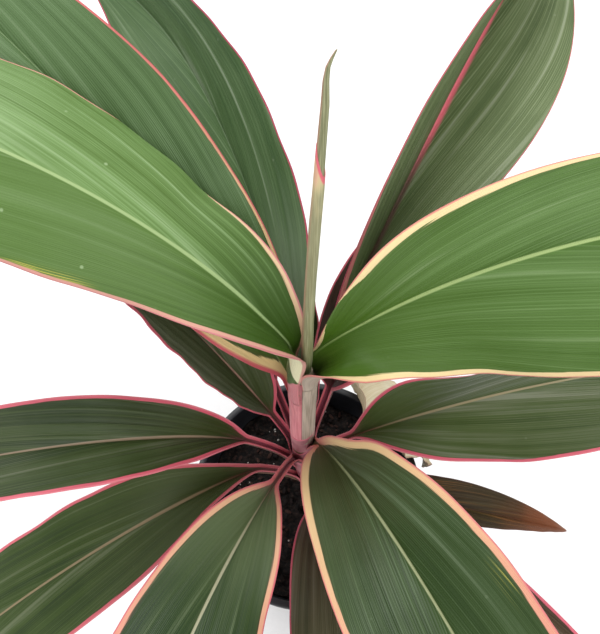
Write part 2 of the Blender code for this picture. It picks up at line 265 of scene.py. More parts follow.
# What the plain outline lacks. wave: (height, waves) of the margins. width, hinge and wrap:
# (side, distances from the leaf base, extra width or bend there). A hinge bends at the midrib,
# a wrap evenly from there out. pull: (distances, how much closer to the stem the midrib lies
# there). pleat: height of the pleats.
Extra = namedtuple("Extra", "wave width hinge wrap pull pleat",
                   defaults=[(0.5, 5.0), (), (), (), ((0,), (0,)), 0.1])
RIGHT, BOTH, LEFT = -1, 0, 1
BLUR = (-3, -1, 1, 3)  # distances over which the changes below are smoothed
EXTRAS = {
    "upper_left": Extra(
        width=((LEFT, (0, 8, 24, 32, 40, 50, 62, 76, 90),
                (7, 7, 7.5, 7.5, 6, 3.8, 2.4, 0.8, 0)),),
        hinge=((BOTH, (0, 8, 16, 24, 32, 42, 55), (0, -11, -50, -55, -56, -14, 0)),),
        wrap=((LEFT, (0, 8, 16, 24, 32, 42, 55), (55, 58, 95, 97, 108, 69, 0)),
              (RIGHT, (0, 8, 16, 24, 32, 42, 55), (0, 5, 30, 40, 30, 10, 0))),
        pull=((0, 8, 16, 24, 34, 46, 62), (0.6, 2.1, 3.2, 2.4, 1.2, 2.4, 0))),
    "upper_right": Extra(
        wave=(0.15, 5.0),
        width=((RIGHT, (0, 6, 12, 18, 24, 31, 42, 56, 80),
                (14, 16, 20, 20.5, 8.5, 0, -3, -2.4, 0)),),
        wrap=((RIGHT, (0, 8, 16, 24, 33, 42), (120, 155, 150, 110, 10, 0)),)),
    "upper_back_left": Extra(
        width=((RIGHT, (100, 140, 170, 200, 250, 290), (0, 2.6, 3.4, 5.0, 3.5, 0)),)),
    "middle_right": Extra(
        wave=(0.15, 5.0),
        width=((LEFT, (66, 80, 95, 110, 125, 140, 165), (0, -1.2, -1.6, -0.4, 2, 2, 0)),)),
    "upper_back_right": Extra(
        wave=(0.25, 3.0),
        wrap=((LEFT, (95, 120, 135, 155, 175, 195, 215), (0, -6, -8, -9, -9, -5, 0)),)),
    "collared_front": Extra(
        wave=(0.7, 4.0),
        width=((LEFT, (20, 35, 46, 56, 64, 70, 80), (0, -2, -3.5, -3.7, -0.6, 0.4, 0)),
               (RIGHT, (22, 34, 120, 150), (0, 2.2, 2.0, 0)))),
    "middle_left": Extra(wave=(0.5, 7.0)),
    "middle_back": Extra(
        width=((RIGHT, (66, 84, 100, 124, 138, 152), (0, -4, -7, -6.5, -3, 0)),)),
    "lower_front_left": Extra(
        width=((RIGHT, (95, 120, 165, 190), (0, 1.8, 1.8, 0)),)),
    "withered_back": Extra(
        wave=(1.4, 7.0),
        width=((LEFT, (52, 62, 72, 110, 126), (0, 6, 11, 11, 0)),
               (RIGHT, (62, 72, 92, 104, 125), (0, -6, -6, 2, 2))),
        pull=((50, 66, 86, 102), (0, 8, 8, 0)), pleat=0.3),
    "drying_right": Extra(wave=(0.2, 5.0), pleat=0.12),
    "lower_left": Extra(pleat=0.2),
    "lower_right": Extra(
        width=((RIGHT, (75, 100, 125, 160, 195, 250, 290), (0, 1.6, 3.0, 1.9, 1.2, 0.6, 0)),),
        pleat=0.16),
}


def axis_through(places):
    """Takes a height to the place there, from (height, sideways) places."""
    heights, sideways, *_ = zip(*places)
    return lambda height: np.array([np.interp(height, heights, sideways), 0.0, height])


stem_centre = axis_through(STEM_BEND)


def blade_half(leaf, along, side):
    widest, taper, shape_skew, width_skew = leaf.outline
    onset = 1 - np.exp(-along / ONSET)
    outline = np.sin(np.pi * along ** (widest + side * shape_skew)) ** taper
    return leaf.half * (1 + side * width_skew) * outline * onset


def leaf_rib(leaf, travel):
    """The midrib's places, and its directions across the blade and up from it."""
    up = np.array([0.0, 0.0, 1.0])
    fine = np.linspace(0, leaf.petiole + leaf.blade, RIB_STEPS + 1)
    in_petiole = np.clip(fine / leaf.petiole, 0, 1)
    in_blade = np.clip((fine - leaf.petiole) / leaf.blade, 0, 1)
    start, tip = leaf.climb
    climb = BASE_CLIMB + (start - BASE_CLIMB) * smooth(in_petiole)
    climb += (tip - start) * in_blade ** leaf.droop
    turn = leaf.turn[0] + (leaf.turn[1] - leaf.turn[0]) * in_blade
    heading = np.radians(leaf.toward + leaf.sweep * in_blade ** SWEEP_POWER)
    climb, turn = np.radians(climb), np.radians(turn)
    outward = np.stack([np.cos(heading), np.sin(heading), 0 * heading], 1)
    ahead = np.cos(climb)[:, None] * outward + np.sin(climb)[:, None] * up
    across = np.cross(up, outward)
    steps = (ahead[1:] + ahead[:-1]) / 2 * np.diff(fine)[:, None]
    centre = np.vstack([np.zeros(3), np.cumsum(steps, 0)])
    seat = STEM_RADIUS + GAP + CAD_THICKNESS / 2
    seat -= TUCK * (1 - smooth(fine / TUCK_LENGTH))
    face = math.radians(leaf.toward + leaf.turn[0])
    centre += stem_centre(leaf.node)
    centre += np.outer(seat, [math.cos(face), math.sin(face), 0.0])
    lift = np.cross(ahead, across)
    cross = np.cos(turn)[:, None] * across + np.sin(turn)[:, None] * lift
    rise = np.cross(ahead, cross)
    return [np.stack([np.interp(travel, fine, track[:, k]) for k in range(3)], 1)
            for track in (centre, cross, rise)]


def changed(table, side, travel):
    """Sum of a table's changes on one side, without corners between its points."""
    total = np.zeros_like(travel)
    for its_side, places, amounts in table:
        if its_side in (side, BOTH):
            near = [np.interp(travel + shift, places, amounts) for shift in BLUR]
            total += sum(near) / len(near)
    return total[:, None]


def leaf_grid(leaf, extra):
    """Middle surface, rows from base to tip and columns from the right margin to the left."""
    length = leaf.petiole + leaf.blade
    travel = length * np.linspace(0, 1, ROWS + 1) ** ROW_CROWDING
    centre, cross, rise = leaf_rib(leaf, travel)
    outward = math.radians(leaf.toward)
    centre -= np.outer(np.interp(travel, *extra.pull), [math.cos(outward), math.sin(outward), 0])
    along = np.clip((travel - leaf.petiole) / leaf.blade, 0, 1)
    freed = smooth(travel / CLASP_LENGTH)
    spread = smooth(along / UNFOLDED)
    flat = 1 - along ** TIP_FLATNESS
    gutter = CHANNEL_FOLD * min(1.0, leaf.petiole / LONG_PETIOLE)
    fold = (gutter * freed * (1 - spread) + leaf.fold * spread) * flat
    curl = (CLASP_TURN * (1 - freed) * (1 - spread) + leaf.curl * spread) * flat
    channel = (PETIOLE_HALF + CLASP_EXTRA * (1 - freed)) * (1 - along) ** CHANNEL_TAPER
    channel *= 1 - RIB_LOSS * spread
    columns, widths = [], []
    signed = [(RIGHT, share) for share in SHARES[:0:-1]] + [(LEFT, share) for share in SHARES]
    for side, share in signed:
        half = channel + blade_half(leaf, along, side) + TIP_HALF
        half = half + changed(extra.width, side, travel)[:, 0]
        middles = (np.arange(ARC_STEPS) + 0.5) / ARC_STEPS * share
        bend = np.radians(fold[:, None] + changed(extra.hinge, side, travel)
                          + (curl[:, None] + changed(extra.wrap, side, travel)) * middles)
        out = np.cos(bend).mean(1) * share * half
        lifted = np.sin(bend).mean(1) * share * half
        columns.append(centre + side * out[:, None] * cross + lifted[:, None] * rise)
        widths.append(half)
    grid = np.array(columns).transpose(1, 0, 2)
    return grid, travel, along, np.array(widths).T, np.array([s * q for s, q in signed])


def surface_normals(grid):
    normals = np.cross(np.gradient(grid, axis=0), np.gradient(grid, axis=1))
    return normals / np.maximum(np.linalg.norm(normals, axis=2, keepdims=True), 1e-9)


SHEET = 0.55  # thickness of the blade,
MARGIN_SHEET = 0.32  # at its margin,
FOOT_SHEET = 0.25  # and how much more it is at the leaf's foot
EDGE_FROM = 0.9  # share of a half, and of the blade, at which its edge begins
VEIN_BEND, VEIN_SLANT = 0.5, 1.45
SIDE_PHASE = 1.7  # sets the relief of a leaf's two halves apart
PLEAT_WAVES = 3.4, 6.1
SECOND_PLEATS = 0.7
SWELL = 0.5
# The midrib, at these shares of the blade: half width, height below, and depth of its groove
RIB_PLACES = (-0.3, 0.0, 0.3, 1.0)
RIB_HALVES = (2.0, 1.9, 1.3, 0.6)
RIB_HEIGHTS = (0.4, 0.9, 1.0, 0.2)
GROOVE_PLACES = (0.0, 0.2, 1.0)
GROOVE_DEPTHS = (0.0, 0.45, 0.1575)
RIB_ONSET = 16.0
THINNEST_BAND, BAND_FADE = 0.28, 0.12  # narrower coloured margins aren't drawn
NO_MARGIN = 1.5


def blade_relief(extra, index, along, span, vein, away):
    """Height of the pleats, swells and waved margins, which fade out at both ends."""
    edge = 1 - EDGE_FROM
    grown = smooth(along / 0.12) * (1 - smooth((along - EDGE_FROM) / edge))
    in_blade = grown * (1 - smooth((np.abs(span) - EDGE_FROM) / edge)) * smooth(away / 4.0)
    side = (span > 0) * SIDE_PHASE
    coarse, fine = PLEAT_WAVES
    pleats = np.sin(FULL_TURN * coarse * vein + index + side)
    pleats += SECOND_PLEATS * np.sin(FULL_TURN * fine * vein + 2 * index + side + 3 * along)
    swell = np.sin(7 * along + index) * np.sin(2.6 * span + 1.3 * index)
    height, waves = extra.wave
    phase = FULL_TURN * waves * along + index + side * 2
    ruffle = np.sin(phase) + 0.5 * np.sin(2.3 * phase + 1)
    return (extra.pleat * pleats * in_blade + SWELL * swell * grown
            + height * ruffle * np.abs(span) ** 4 * grown)


def closed_sheet_faces(rows, columns):
    """Faces of an upper and a lower grid, joined all round their rim."""
    size = rows * columns
    faces = sheet_faces(rows, columns, 0) + sheet_faces(rows, columns, size, flip=True)
    number = np.arange(size).reshape(rows, columns)
    rim = np.concatenate([number[:, 0], number[-1, 1:], number[-2::-1, -1], number[0, -2:0:-1]])
    for a, b in zip(rim.tolist(), np.roll(rim, -1).tolist()):
        faces.append((a, a + size, b + size, b))
    return faces


def build_leaf(name, leaf, paint, extra, index):
    grid, travel, along, widths, span = leaf_grid(leaf, extra)
    normals = surface_normals(grid)
    rows, columns, _ = grid.shape
    beyond = (travel - leaf.petiole) / leaf.blade  # below 0 on the petiole
    travel, along, span = travel[:, None], along[:, None], span[None, :]
    away = np.abs(span) * widths  # from the midrib
    inside = (1 - np.abs(span)) * widths  # from the margin
    vein = np.abs(span) + VEIN_BEND * span ** 2 - VEIN_SLANT * along
    relief = blade_relief(extra, index, along, span, vein, away)
    middle = grid + relief[:, :, None] * normals

    rib_half = np.interp(beyond, RIB_PLACES, RIB_HALVES)[:, None]
    groove = np.interp(beyond, GROOVE_PLACES, GROOVE_DEPTHS)[:, None]
    groove = groove * np.exp(-(away / rib_half) ** 2)
    stout = np.interp(beyond, RIB_PLACES, RIB_HEIGHTS)[:, None] * smooth(travel / RIB_ONSET)
    stout = stout * np.exp(-(away / (rib_half * 0.9)) ** 2)
    at_edge = smooth((np.abs(span) - EDGE_FROM) / (1 - EDGE_FROM))
    thick = SHEET + (MARGIN_SHEET - SHEET) * at_edge
    thick = thick + FOOT_SHEET * (1 - smooth(beyond / 0.15))[:, None] * (inside > 1)
    upper = middle + (thick / 2 - groove)[:, :, None] * normals
    lower = middle - (thick / 2 + stout)[:, :, None] * normals
    points = np.concatenate([upper.reshape(-1, 3), lower.reshape(-1, 3)])

    right_band = np.interp(beyond, *paint.right)[:, None]
    left_band = np.interp(beyond, *paint.left)[:, None]
    band_width = np.where(span > 0, left_band, right_band)
    hidden = np.clip((THINNEST_BAND - band_width) / BAND_FADE, 0.0, 1.0)
    numbers = {
        "span": np.broadcast_to(span, (rows, columns)),
        "along": np.broadcast_to(beyond[:, None], (rows, columns)),
        "vein": vein,
        "band": inside / band_width + NO_MARGIN * hidden,
        "rib": away / (rib_half * paint.rib_width),
    }
    for k, (shade, places, starts) in enumerate(paint.patches):
        numbers[f"patch_{k}"] = span - np.interp(travel, places, starts)
    values = {key: np.concatenate([number.ravel()] * 2) for key, number in numbers.items()}
    values["under"] = np.repeat([0.0, 1.0], rows * columns)
    finish = leaf_finish(name, paint, index)
    make_piece(name, points, closed_sheet_faces(rows, columns), finish, values,
               node=name)


# Leaves: colour

# dark to pale: the blade. base, stalk: its foot and the petiole. inner, outer: the margin
COLOURS = "dark main light pale base rib stalk inner outer under".split()
# What else a leaf's paint may say, and what holds if it doesn't. Places are shares of the blade.
OPTIONS = {
    "rib_width": 0.75,  # the painted midrib, as a share of the modelled one
    "rib_start": -0.04,  # where it takes its own colour, after the petiole's
    "seam": 0.3,  # strength of the dark line inside the coloured margin
    "fringe": 0.35,  # the outer colour, as a share of that margin
    "blush": 0.5,  # how far the inner colour turns into the outer one,
    "foot_blush": 1.0,  # also near the foot,
    "left_blush": 0.0,  # and on the left side
    "lift": 0.3,  # how much lighter the blade is towards its tip, partly own colour, partly painted sheen, and its left half as painted light, or below 0 darker as painted shade
    "left_lift": 0.0,  # and its left half, or below 0 how much darker
    "lines": 0.5,  # strength of the fine veins and pale lines
    "specks": 0.3,
    "streak": None,  # one broad pale streak on the left: vein and half width
    "flecks": None,  # yellow flecks at the left margin: start, end, reach inwards
    "base_reach": (0.34, 0.04),  # where the base colour ends, and where it is full
    "base_share": 0.8,
    "tip": rgb(150, 110, 70),  # the dried tip
    "tip_start": 0.985,
    "gloss": 0.32,
    "patches": (),  # of the underside: colour, distances, how far left of the midrib it starts
}
Paint = namedtuple("Paint", ["slot", *COLOURS, "right", "left", *OPTIONS],
                   defaults=list(OPTIONS.values()))


def painted(slot, *colours, right, left=None, **options):
    """A leaf's paint, from its colours as they are seen and the widths of its two margins."""
    return Paint(slot, *(seen(*colour) for colour in colours), right, left or right, **options)


BAND_PLACES = (-0.03, 0.04, 0.14, 0.3, 0.6, 1.0)


def band(*widths, places=BAND_PLACES):
    return places, widths


def even(width):
    return band(*(width * share for share in (1, 1, 1, 0.9, 0.75, 0.5)))


PAINTS = {
    "upper_left": painted(
        "green_leaf", (91, 120, 60), (112, 143, 83), (142, 174, 115), (168, 193, 145), (64, 90, 0),
        (166, 190, 132), (70, 96, 30), (234, 200, 160), (212, 138, 138), (70, 88, 44),
        right=band(1.0, 2.4, 2.1, 1.0, 0.1, 0.1, 0.6, 0.6,
                   places=(-0.03, 0.04, 0.14, 0.2, 0.235, 0.345, 0.38, 1.0)),
        left=band(0.4, 2.4, 1.9, 1.3, 1.1, 1.0), rib_width=0.8, seam=0.1, lift=1.35,
        specks=1.0, left_lift=-0.75, fringe=0.3, flecks=(0.27, 0.4, 4.0), left_blush=0.6,
        base_reach=(0.29, 0.07), base_share=0.95, gloss=0.28,
        patches=((rgb(224, 142, 148), (5, 13, 21, 27, 30), (-1.2, 0.22, 0.6, 0.79, 1.2)),
                 (rgb(242, 236, 196), (26, 29, 33, 37, 46, 56, 58),
                  (1.2, 0.93, 0.45, 0.1, -0.1, -0.2, 1.2)))),
    "upper_right": painted(
        "green_leaf", (76, 106, 46), (90, 121, 60), (110, 140, 82), (156, 178, 130), (76, 106, 34),
        (166, 188, 122), (96, 124, 56), (250, 226, 170), (228, 140, 132), (124, 134, 88),
        right=band(0.4, 2.8, 2.8, 2.5, 2.1, 1.5),
        left=band(2.4, 2.2, 0.05, 0.05, 3.1, 2.7, 1.3, 0.6,
                  places=(-0.06, 0.04, 0.065, 0.1, 0.15, 0.3, 0.45, 1)),
        rib_width=0.9, seam=0.1, blush=0.2, lift=0.4, streak=(0.02, 0.07), fringe=0.17,
        patches=((rgb(194, 178, 162), (24, 27), (-1.2, 1.2)),)),
    "upper_back_left": painted(
        "dark_leaf", (74, 100, 58), (92, 119, 75), (112, 138, 96), (146, 164, 128), (70, 96, 40),
        (118, 142, 98), (110, 120, 70), (238, 206, 150), (212, 102, 110), (112, 92, 80),
        right=band(0.8, 1.2, 1.4, 1.1, 0.8, 0.6), left=band(7.0, 7.0, 4.6, 1.7, 0.9, 0.8),
        rib_width=0.6, blush=0.9, lift=0.6, fringe=0.3, foot_blush=0.0),
    "upper_back": painted(
        "dark_leaf", (74, 98, 64), (90, 114, 76), (118, 140, 104), (158, 170, 148), (150, 168, 138),
        (104, 124, 92), (112, 112, 84), (212, 96, 116), (190, 90, 108), (104, 66, 70),
        right=band(0.7, 0.7, 0.7, 0.6, 0.6, 0.5), left=band(0.8, 0.9, 0.9, 0.8, 0.7, 0.5),
        rib_width=0.6, gloss=0.12),
    # Its left half and its margin's inner pink are painted lighter than their own colour: painted
    # light on the fold that faces away from the lamps
    "upper_back_right": painted(
        "dark_leaf", (90, 106, 72), (112, 127, 88), (136, 150, 112), (170, 178, 152), (124, 140, 100),
        (234, 132, 142), (128, 108, 94), (255, 158, 158), (206, 98, 114), (108, 60, 66),
        right=band(0.3, 0.3, 0.3, 0.3, 0.3, 0.3), left=band(2.5, 4.0, 3.6, 1.2, 0.8, 0.5),
        rib_width=3.0, fringe=0.12, foot_blush=0.0, lift=0.25, lines=1.0, left_lift=0.3,
        rib_start=0.31, gloss=0.16),
    "collared_front": painted(
        "dark_leaf", (52, 70, 38), (66, 85, 50), (98, 118, 84), (128, 144, 114), (80, 84, 56),
        (156, 162, 122), (130, 110, 84), (240, 206, 154), (224, 128, 128), (120, 80, 80),
        right=band(1.8, 4.2, 3.8, 2.5, 1.6, 1.0), left=band(1.8, 4.6, 4.6, 3.0, 2.2, 1.4),
        rib_width=0.85, seam=0.1, blush=0.8, left_lift=-0.4, fringe=0.16,
        flecks=(0.36, 0.44, 3.5)),
    "middle_right": painted(
        "maroon_leaf", (60, 46, 40), (76, 62, 52), (98, 84, 72), (126, 114, 100), (70, 46, 44),
        (140, 90, 92), (140, 72, 88), (226, 106, 124), (232, 126, 136), (104, 56, 64),
        right=even(2.2), left=even(1.0)),
    "lower_front": painted(
        "dark_leaf", (40, 56, 24), (49, 68, 31), (68, 85, 48), (114, 128, 96), (112, 126, 90),
        (174, 172, 142), (160, 96, 104), (236, 186, 148), (220, 116, 122), (116, 70, 74),
        right=band(1.6, 2.6, 3.0, 2.6, 1.9, 1.2), left=band(1.6, 2.4, 2.8, 2.4, 1.8, 1.2),
        blush=0.9, fringe=0.25),
    "middle_left": painted(
        "maroon_leaf", (70, 78, 52), (84, 92, 64), (104, 110, 86), (122, 126, 104), (74, 86, 54),
        (158, 128, 112), (140, 76, 88), (224, 104, 122), (220, 112, 126), (104, 58, 64),
        right=even(1.5),
        left=band(0.9, 1.0, 0.8, 0.6, 1.0, 2.0, 1.9, 1.0,
                  places=(-0.03, 0.04, 0.14, 0.3, 0.38, 0.46, 0.6, 1.0)),
        rib_width=0.7),
    "lower_right": painted(
        "dark_leaf", (64, 80, 44), (81, 96, 57), (110, 118, 90), (142, 146, 126), (78, 94, 48),
        (164, 152, 118), (180, 100, 108), (226, 98, 118), (236, 132, 144), (112, 56, 64),
        right=band(1.7, 1.9, 1.8, 1.6, 1.3, 0.8), left=band(1.6, 1.9, 1.8, 1.6, 1.3, 0.8),
        lift=0.9),
    "lower_left": painted(
        "dark_leaf", (52, 66, 37), (70, 85, 49), (100, 108, 82), (134, 136, 116), (66, 72, 44),
        (152, 134, 112), (160, 84, 98), (226, 100, 118), (236, 132, 144), (112, 56, 64),
        right=band(1.6, 2.0, 2.0, 1.7, 1.4, 0.9), left=band(1.6, 1.9, 1.9, 1.7, 1.4, 0.9),
        lift=0.9),
    "middle_back_left": painted(
        "maroon_leaf", (50, 56, 38), (62, 68, 46), (82, 86, 66), (110, 112, 92), (66, 58, 48),
        (146, 104, 104), (146, 80, 92), (224, 104, 122), (220, 112, 126), (104, 56, 64),
        right=even(1.1)),
    "middle_back": painted(
        "maroon_leaf", (50, 64, 36), (62, 76, 44), (82, 94, 64), (110, 116, 92), (66, 60, 48),
        (146, 104, 104), (130, 76, 80), (224, 104, 122), (220, 112, 126), (104, 56, 64),
        right=even(1.1)),
    "lower_front_left": painted(
        "dark_leaf", (54, 71, 33), (68, 87, 43), (94, 108, 72), (124, 134, 104), (82, 94, 57),
        (158, 142, 110), (158, 86, 96), (230, 112, 124), (238, 138, 146), (112, 58, 64),
        right=band(1.6, 1.9, 1.9, 1.7, 1.4, 0.9), lift=0.7),
    "bottom_right": painted(
        "maroon_leaf", (60, 46, 38), (78, 64, 48), (100, 86, 68), (124, 110, 92), (78, 54, 46),
        (150, 110, 100), (150, 76, 90), (222, 100, 120), (230, 122, 136), (112, 52, 62),
        right=even(1.6)),
    "bottom_front": painted(
        "maroon_leaf", (72, 74, 52), (90, 88, 64), (112, 108, 84), (114, 108, 92), (76, 56, 46),
        (128, 96, 86), (140, 72, 84), (200, 92, 108), (206, 100, 116), (108, 52, 60),
        right=even(1.0)),
    "withered_back": painted(
        "withered_leaf", (186, 166, 130), (210, 196, 160), (228, 218, 188), (238, 230, 208),
        (190, 166, 130), (190, 164, 130), (176, 130, 116), (200, 176, 146), (190, 160, 136),
        (190, 172, 138), right=even(1.0), specks=0.8, tip=seen(206, 140, 130), tip_start=0.93),
    "drying_right": painted(
        "drying_leaf", (58, 44, 38), (74, 62, 42), (94, 84, 54), (164, 108, 62), (62, 48, 42),
        (92, 70, 52), (140, 70, 74), (98, 62, 50), (84, 56, 50), (120, 80, 58),
        right=even(0.5), rib_width=0.7, tip=seen(142, 86, 56), tip_start=0.6),
}


MAROON = rgb(88, 38, 46)
FLECK_YELLOW = rgb(196, 186, 84)
SIDE_SHIFT, LEAF_SHIFT = 7.3, 3.17  # set apart the streaks of two halves, and of two leaves
STREAKS = ((3.2, 1.1, 2.0), (10.0, 1.8, 3.0), (34.0, 3.0, 2.0))  # across, along and detail
BLOTCH_SCALE = 30.0
HAIR_WAVES, HAIRLINE_WAVES, THIN_WAVES = 30.0, 23.0, 11.0
WAVE_UNREST = 5.0
SPECK_SCALE, SPECKLESS = 130.0, 0.78


def waves(s, across, unrest):
    """Even waves across the blade, from 0 to 1, that the unrest bends."""
    turn = s.plus(s.times(s.track, FULL_TURN * across), s.times(unrest, WAVE_UNREST))
    return s.ranged(s.math("SINE", turn), 0.5, 0.5)


def read_leaf(s, index):
    """Gives the shader the numbers on the mesh, and noises that follow the leaf's veins."""
    s.along, s.vein, s.margin, s.rib = (s.value(key) for key in ("along", "vein", "band", "rib"))
    s.left = s.math("GREATER_THAN", s.value("span"), 0.0)
    s.track = s.plus(s.vein, s.times(s.left, SIDE_SHIFT))
    streaks = []
    for across, lengthways, detail in STREAKS:
        place = [s.times(s.track, across), s.times(s.along, lengthways), LEAF_SHIFT * index]
        streaks.append(s.noise(s.node("CombineXYZ", place), detail=detail))
    s.broad, s.middle, s.fine = streaks
    s.blotch = s.noise(s.place(), BLOTCH_SCALE, 3.0)
    s.tone = s.plus(s.plus(s.times(s.broad, 0.44), s.times(s.middle, 0.32)),
                    s.plus(s.times(s.fine, 0.16), s.times(s.blotch, 0.08)))
    s.hairs = waves(s, HAIR_WAVES, s.middle)


def veined_blade(s, paint):
    """Wide streaks, then fine parallel veins, thin pale lines and small specks."""
    colour = s.fade(paint.dark, paint.main, s.tone, 0.38, 0.5)
    # Pale streaks grow towards the tip with lift: partly the leaf's own colour, partly painted sheen
    rise = s.plus(s.tone, s.times(s.step(s.along, 0.3, 1.0), 0.08 * paint.lift))
    colour = s.fade(colour, paint.light, rise, 0.5, 0.64)
    colour = s.mix(s.times(s.hairs, 0.24 * paint.lines + 0.09), colour, paint.dark)
    thin = s.times(s.step(waves(s, THIN_WAVES, s.broad), 0.86, 1.0), s.step(s.fine, 0.44, 0.58))
    colour = s.mix(s.times(thin, paint.lines), colour, paint.light)
    hairline = s.times(s.step(waves(s, HAIRLINE_WAVES, s.middle), 0.8, 1.0),
                       s.step(s.blotch, 0.4, 0.56))
    colour = s.mix(s.times(hairline, 0.9 * paint.lines), colour, paint.light)
    glint = s.times(s.step(s.middle, 0.52, 0.66), s.step(s.broad, 0.5, 0.6))
    colour = s.mix(s.times(glint, 0.55), colour, paint.pale)
    if paint.streak:
        vein_at, half = paint.streak
        off = s.math("ABSOLUTE", s.plus(s.plus(s.vein, -vein_at), s.sway(s.fine, half)))
        on_left = s.times(s.left, s.step(s.along, 0.55, 0.3))
        wide = s.times(s.step(off, half, half * 0.3), on_left)
        colour = s.mix(s.times(wide, 0.6), colour, paint.light)
    # The left half painted lighter as painted light, or for a negative amount darker as painted shade
    other = paint.light if paint.left_lift > 0 else paint.dark
    colour = s.mix(s.times(s.left, abs(paint.left_lift)), colour, other)
    distance = s.node("TexVoronoi", {"Vector": s.place(), "Scale": SPECK_SCALE}, "Distance")
    chance = s.node("SeparateColor", [distance.node.outputs["Color"]])
    speck = s.times(s.step(distance, 0.11, 0.04), s.math("GREATER_THAN", chance, SPECKLESS))
    return s.mix(s.times(speck, paint.specks * 0.7), colour, paint.pale)


def with_midrib(s, paint, colour):
    """The blade darker and warmer at its base and lighter at its tip, and the midrib on it."""
    reach = s.plus(s.along, s.sway(s.middle, 0.2))
    colour = s.fade(colour, paint.base, reach, *paint.base_reach, paint.base_share)
    # Lighter towards the tip: partly the leaf's own colour, partly painted sheen
    colour = s.fade(colour, paint.light, reach, 0.25, 1.05, 0.55 * paint.lift)
    colour = s.fade(colour, paint.stalk, reach, 0.05, -0.06)
    # A painted shade line in the groove beside the midrib, on the left half
    colour = s.fade(colour, paint.dark, s.rib, 1.5, 0.8, s.times(s.left, 0.35))
    own = s.fade(paint.stalk, paint.rib, s.along, paint.rib_start, paint.rib_start + 0.14)
    return s.fade(colour, own, s.rib, 0.8, 0.3)


def with_margin(s, paint, colour):
    """A thin dark line, then the margin's inner colour, then the outer one."""
    wander = s.plus(s.sway(s.middle, 0.7), s.sway(s.fine, 0.35))
    edge = s.plus(s.margin, wander)
    if paint.flecks:
        start, end, inwards = paint.flecks
        window = s.times(s.step(s.along, start, start + 0.05), s.step(s.along, end, end - 0.05))
        close = s.times(s.step(s.margin, inwards, inwards * 0.4), s.step(s.fine, 0.5, 0.58))
        colour = s.mix(s.times(s.times(close, s.left), window), colour, FLECK_YELLOW)
    colour = s.fade(colour, MAROON, edge, 1.4, 1.0, paint.seam)
    warm = s.plus(s.step(s.plus(s.along, s.times(s.broad, 0.3)), 0.25, 0.75),
                  s.times(s.step(s.along, 0.1, 0.0), paint.foot_blush))
    inner = s.mix(s.times(warm, paint.blush), paint.inner, paint.outer)
    inner = s.mix(s.times(s.left, paint.left_blush), inner, paint.outer)
    depth = s.plus(s.margin, s.times(wander, 0.4))
    strip = s.fade(paint.outer, inner, depth, paint.fringe - 0.15, paint.fringe + 0.15)
    return s.fade(colour, strip, edge, 1.06, 0.92)


def underside(s, paint):
    """A plainer, redder face, with the patches that show where a leaf's foot folds over."""
    lit = s.mix(0.45, paint.under, paint.light)
    below = s.fade(paint.under, lit, s.tone, 0.4, 0.62)
    below = s.fade(below, s.mix(0.5, paint.under, paint.rib), s.rib, 1.4, 0.7)
    for k, (shade, *_) in enumerate(paint.patches):
        grained = s.fade(shade, tuple(0.78 * value for value in shade), s.fine, 0.35, 0.65)
        below = s.fade(below, grained, s.value(f"patch_{k}"), -0.04, 0.04)
    return s.fade(below, paint.outer, s.margin, 0.9, 0.6, 0.8)


def leaf_finish(name, paint, index):
    s = Shader(name, paint.gloss)
    read_leaf(s, index)
    colour = with_margin(s, paint, with_midrib(s, paint, veined_blade(s, paint)))
    dried = s.plus(s.along, s.sway(s.blotch, 0.25))
    colour = s.fade(colour, paint.tip, dried, paint.tip_start, min(1.0, paint.tip_start + 0.25))
    colour = s.mix(s.value("under"), colour, underside(s, paint))
    s.bump(s.plus(s.times(s.hairs, 0.25), s.plus(s.times(s.fine, 0.5), s.times(s.middle, 0.6))),
           0.0004, 0.5)
    return s.done(colour, s.ranged(s.middle, 0.36, 0.18))


for index, (name, leaf) in enumerate(LEAVES.items()):
    build_leaf("leaf_" + name, leaf, PAINTS[name], EXTRAS.get(name, Extra()), index)


# Sleeves and rods: the stem and the rolled leaf

ROUND = 64  # steps round a rod
NO_RIM = 99.0  # drop below the rim, where a part has none


def sleeve(axis, low, high, radius, wall, turns=96, rings=40):
    """A closed wall round an axis. high is a function of the turn, and radius of the turn and
    the share of the height. Returns points, faces, turns and drops below the rim."""
    turn = all_round(turns)
    top = high(turn)
    share = np.linspace(0, 1, rings)
    profile = [(t, 0.0) for t in share] + [(1.0, wall * 0.5)] + [(t, wall) for t in share[::-1]]
    points, drop = [], []
    for t, inset in profile:
        height = low + (top - low) * t
        if inset == wall * 0.5:
            height = height + wall * 0.3
        middle = np.transpose([axis(z) for z in height])
        points.append(ring(radius(turn, t) - inset, turn, height, middle))
        drop.append(top - height)
    faces = sheet_faces(len(profile), turns, 0, flip=True, closed=True)
    last = (len(profile) - 1) * turns
    for j in range(turns):
        k = (j + 1) % turns
        faces.append((j, k, last + k, last + j))
    return np.concatenate(points), faces, np.tile(turn, len(profile)), np.concatenate(drop)


def rod(axis, heights, radii):
    """A closed, tapering rod with rounded ends."""
    turn = all_round(ROUND)
    points = [ring(r, turn, z, axis(z)) for z, r in zip(heights, radii)]
    around = np.tile(turn, len(heights))
    return (np.concatenate(points), tube_faces(len(heights), ROUND), around,
            np.full(len(around), NO_RIM))


def join_parts(parts):
    """Joins such parts, and adds which part each point is in."""
    faces, start = [], 0
    for spots, quads, _, _ in parts:
        faces += [tuple(corner + start for corner in quad) for quad in quads]
        start += len(spots)
    points, turn, drop = (np.concatenate([part[k] for part in parts]) for k in (0, 2, 3))
    layer = np.repeat(np.arange(len(parts)), [len(part[0]) for part in parts])
    return points, faces, turn, drop, layer


def away_from(turn, middle):
    return np.abs((np.degrees(turn) - middle + 180) % 360 - 180)


